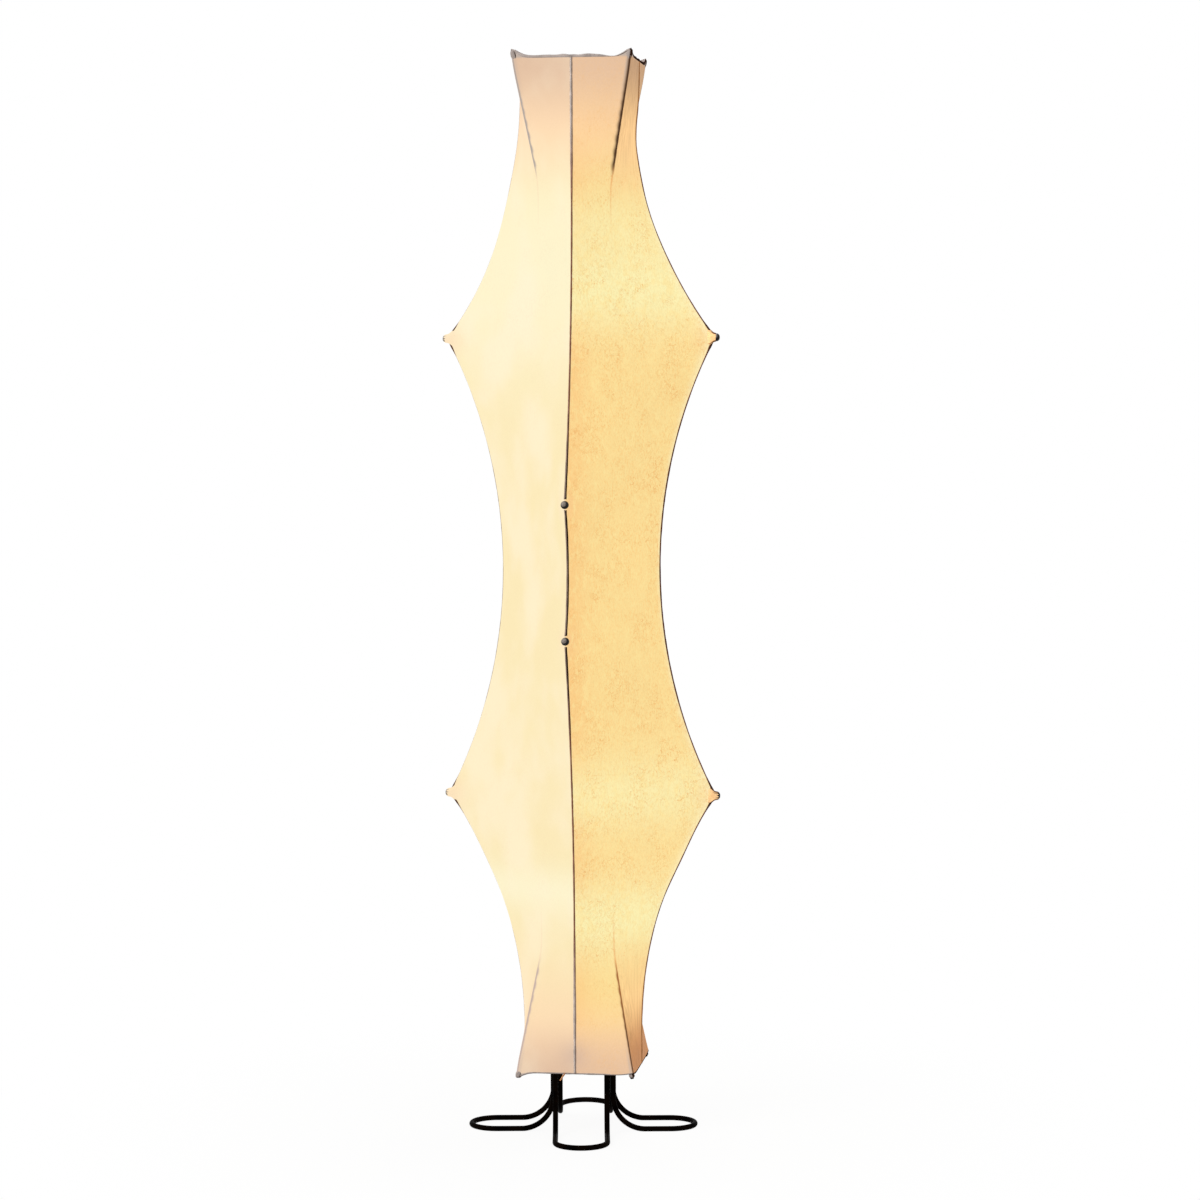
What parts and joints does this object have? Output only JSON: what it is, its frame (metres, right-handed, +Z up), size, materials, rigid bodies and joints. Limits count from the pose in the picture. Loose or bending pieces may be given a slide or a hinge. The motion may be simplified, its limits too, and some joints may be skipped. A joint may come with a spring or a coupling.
{
  "type": "floor lamp",
  "caption": "Floor lamp with a tall silk sleeve stretched square at both ends and out to rounded ridges by cross rods, lit from inside, on looped hairpin feet.",
  "frame": {"origin": "on the floor under the column, at the middle of the feet", "axes": "+Z up along the column; -Y towards the front ridge of the cover; +X towards its right ridge"},
  "size_m": [0.3892, 0.3302, 1.5008],
  "materials": {
    "silk": "matte, translucent, glowing from the bulbs inside",
    "dark_piping": "matte",
    "pocket_cloth": "matte",
    "black_paint": "satin",
    "white_paint": "satin",
    "black_plastic": "matte",
    "knob_black": "gloss",
    "plated_steel": "satin",
    "holder_plastic": "matte",
    "bulb_cap": "satin",
    "frosted_glass": "frosted, lit",
    "lead_sheath": "matte"
  },
  "bodies": {
    "stand": {"back_foot": "black_paint", "back_left_panel": "silk", "back_piping": "dark_piping", "back_right_panel": "silk", "base_plate": "black_paint", "bottom_corner_pockets": "pocket_cloth", "bottom_rim_cord": "dark_piping", "cable_gland": "holder_plastic", "column_flange": "white_paint", "column_tube": "white_paint", "flange_screws": "plated_steel", "front_foot": "black_paint", "front_left_panel": "silk", "front_piping": "dark_piping", "front_right_panel": "silk", "hub_set_screws": "plated_steel", "lead_splice": "lead_sheath", "left_foot": "black_paint", "left_piping": "dark_piping", "lower_back_left_arm": "black_paint", "lower_back_right_arm": "black_paint", "lower_front_hub": "black_plastic", "lower_front_left_arm": "black_paint", "lower_front_right_arm": "black_paint", "lower_front_rods": "black_paint", "lower_holder_bracket": "white_paint", "lower_lampholder": "holder_plastic", "lower_lead": "lead_sheath", "lower_side_hub": "black_plastic", "lower_side_rods": "black_paint", "right_foot": "black_paint", "right_piping": "dark_piping", "seam_eyelets": "plated_steel", "top_corner_pockets": "pocket_cloth", "top_rim_cord": "dark_piping", "upper_back_left_arm": "black_paint", "upper_back_right_arm": "black_paint", "upper_front_hub": "black_plastic", "upper_front_left_arm": "black_paint", "upper_front_right_arm": "black_paint", "upper_front_rods": "black_paint", "upper_lampholder": "holder_plastic", "upper_lead": "lead_sheath", "upper_side_hub": "black_plastic", "upper_side_rods": "black_paint"},
    "right_upper_knob": {"right_upper_knob": "knob_black"},
    "right_lower_knob": {"right_lower_knob": "knob_black"},
    "left_upper_knob": {"left_upper_knob": "knob_black"},
    "left_lower_knob": {"left_lower_knob": "knob_black"},
    "front_upper_knob": {"front_upper_knob": "knob_black"},
    "front_lower_knob": {"front_lower_knob": "knob_black"},
    "back_upper_knob": {"back_upper_knob": "knob_black"},
    "back_lower_knob": {"back_lower_knob": "knob_black"},
    "upper_bulb": {"upper_bulb_cap": "bulb_cap", "upper_bulb_glass": "frosted_glass"},
    "lower_bulb": {"lower_bulb_cap": "bulb_cap", "lower_bulb_glass": "frosted_glass"}
  },
  "joints": [
    {"name": "right_upper_knob_turn", "type": "hinge", "parent": "stand", "child": "right_upper_knob", "pos_m": [0.1875, 0, 1.1097], "axis": [1, 0, 0], "continuous": true},
    {"name": "right_lower_knob_turn", "type": "hinge", "parent": "stand", "child": "right_lower_knob", "pos_m": [0.1875, 0, 0.4713], "axis": [1, 0, 0], "continuous": true},
    {"name": "left_upper_knob_turn", "type": "hinge", "parent": "stand", "child": "left_upper_knob", "pos_m": [-0.1875, 0, 1.1097], "axis": [-1, 0, 0], "continuous": true},
    {"name": "left_lower_knob_turn", "type": "hinge", "parent": "stand", "child": "left_lower_knob", "pos_m": [-0.1875, 0, 0.4713], "axis": [-1, 0, 0], "continuous": true},
    {"name": "front_upper_knob_turn", "type": "hinge", "parent": "stand", "child": "front_upper_knob", "pos_m": [0, -0.158, 0.883], "axis": [0, -1, 0], "continuous": true},
    {"name": "front_lower_knob_turn", "type": "hinge", "parent": "stand", "child": "front_lower_knob", "pos_m": [0, -0.158, 0.698], "axis": [0, -1, 0], "continuous": true},
    {"name": "back_upper_knob_turn", "type": "hinge", "parent": "stand", "child": "back_upper_knob", "pos_m": [0, 0.158, 0.883], "axis": [0, 1, 0], "continuous": true},
    {"name": "back_lower_knob_turn", "type": "hinge", "parent": "stand", "child": "back_lower_knob", "pos_m": [0, 0.158, 0.698], "axis": [0, 1, 0], "continuous": true},
    {"name": "upper_bulb_turn", "type": "hinge", "parent": "stand", "child": "upper_bulb", "pos_m": [0, 0, 1.2], "axis": [0, 0, 1], "continuous": true},
    {"name": "lower_bulb_turn", "type": "hinge", "parent": "stand", "child": "lower_bulb", "pos_m": [0, 0.044, 0.3], "axis": [0, 0, 1], "continuous": true}
  ]
}
